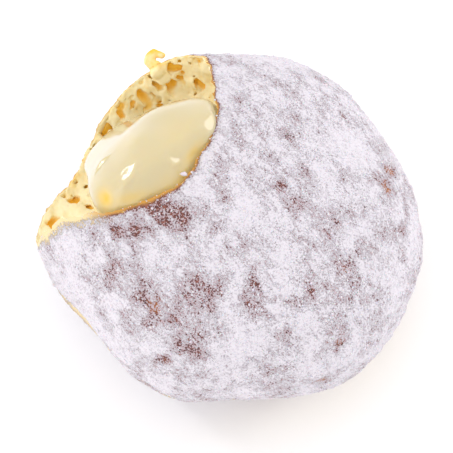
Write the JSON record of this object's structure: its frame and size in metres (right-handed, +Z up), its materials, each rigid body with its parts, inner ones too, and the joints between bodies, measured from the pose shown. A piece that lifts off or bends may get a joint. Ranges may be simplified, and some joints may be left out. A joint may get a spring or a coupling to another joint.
{
  "type": "cream-filled doughnut",
  "caption": "Round sugar-dusted filled doughnut lying flat, bitten on its upper edge, with pastry cream bulging out of the bite.",
  "frame": {"origin": "middle of the underside, on the surface the doughnut lies on", "axes": "+Z up, -Y towards the whole front side, the bite at -X +Y"},
  "size_m": [0.0902, 0.0852, 0.0544],
  "materials": {
    "dough": "matte powdered sugar over a red-brown fried crust, with an open golden crumb in the bite",
    "cream": "smooth glossy pastry cream"
  },
  "bodies": {
    "root": {"dough": "dough", "cream": "cream"}
  },
  "joints": []
}
